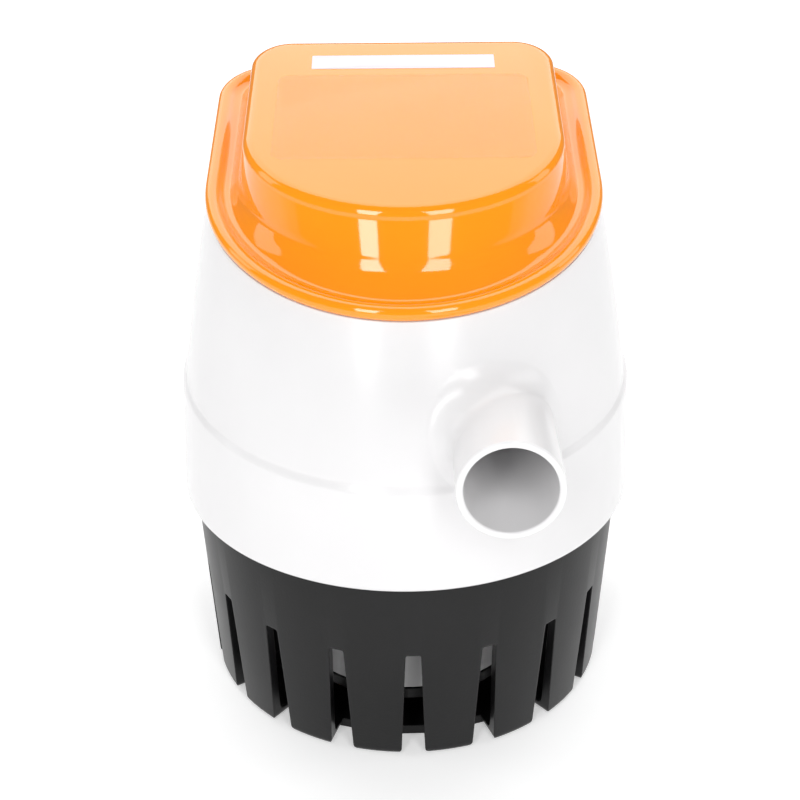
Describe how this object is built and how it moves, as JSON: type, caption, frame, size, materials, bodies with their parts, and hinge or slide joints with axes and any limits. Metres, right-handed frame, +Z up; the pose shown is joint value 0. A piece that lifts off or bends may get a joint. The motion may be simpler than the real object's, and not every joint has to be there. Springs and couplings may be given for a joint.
{
  "type": "bilge pump",
  "caption": "Automatic submersible bilge pump with a slotted strainer base, a white body with a side hose nozzle, a slanted orange cap and a free electric cable.",
  "frame": {"origin": "middle of the strainer base's flat underside", "axes": "+Z up along the motor's axis, -Y towards the nozzle's mouth at the front, +X towards the nozzle's side"},
  "size_m": [0.1248, 0.2405, 0.1671],
  "materials": {
    "black_plastic": "satin moulded plastic",
    "white_plastic": "glossy moulded plastic",
    "orange_plastic": "high gloss moulded plastic",
    "grey_plastic": "satin moulded plastic",
    "blue_plastic": "satin moulded plastic",
    "rubber": "matt moulded rubber",
    "cable_jacket": "matt extruded jacket",
    "steel": "drawn and turned steel",
    "laminations": "stacked sheet steel",
    "copper": "enamelled copper",
    "brass": "plain brass",
    "bronze": "sintered bronze",
    "carbon": "pressed carbon",
    "ferrite": "ground ferrite",
    "glass": "clear glass",
    "board": "solder-masked board",
    "foam": "closed-cell foam",
    "brown_wire": "smooth insulation",
    "white_wire": "smooth insulation",
    "black_wire": "smooth insulation"
  },
  "bodies": {
    "base": {"strainer_base": "black_plastic"},
    "pump": {"pump_body": "white_plastic", "impeller_housing": "white_plastic", "intake_plate": "black_plastic", "motor_pod": "grey_plastic", "shaft_seal": "rubber", "motor_can": "steel", "motor_magnet_left": "ferrite", "motor_magnet_right": "ferrite", "lower_bearing": "bronze", "upper_bearing": "bronze", "motor_end_bell": "black_plastic", "brush_left": "carbon", "brush_right": "carbon", "brush_spring_left": "bronze", "brush_spring_right": "bronze", "motor_terminal_left": "brass", "motor_terminal_right": "brass", "float_pin": "steel", "reed_board": "board", "reed_switch": "glass", "cap": "orange_plastic", "cap_seal": "rubber", "cable_gland": "rubber", "cable": "cable_jacket", "cable_coil": "cable_jacket", "cable_tail": "cable_jacket", "lead_black": "black_wire", "lead_brown": "brown_wire", "lead_striped": "white_wire", "wire_positive": "brown_wire", "wire_negative": "black_wire", "wire_switch": "white_wire", "intake_screw_1": "steel", "pod_screw_1": "steel", "intake_screw_2": "steel", "pod_screw_2": "steel", "intake_screw_3": "steel", "pod_screw_3": "steel"},
    "rotor": {"motor_shaft": "steel", "impeller": "blue_plastic", "armature_core": "laminations", "winding_1": "copper", "winding_2": "copper", "winding_3": "copper", "winding_4": "copper", "winding_5": "copper", "commutator": "copper", "thrust_washer": "white_plastic"},
    "float": {"float": "foam", "float_arm": "white_plastic", "float_magnet": "ferrite"}
  },
  "joints": [
    {"name": "pump_lift", "type": "slide", "parent": "base", "child": "pump", "axis": [0, 0, 1], "range_m": [0, 0.06]},
    {"name": "rotor_spin", "type": "hinge", "parent": "pump", "child": "rotor", "pos_m": [0, -0.014, 0.025], "axis": [0, 0, 1], "continuous": true},
    {"name": "float_swing", "type": "hinge", "parent": "pump", "child": "float", "pos_m": [0, 0.025, 0.036], "axis": [1, 0, 0], "range_deg": [0, 20]}
  ]
}
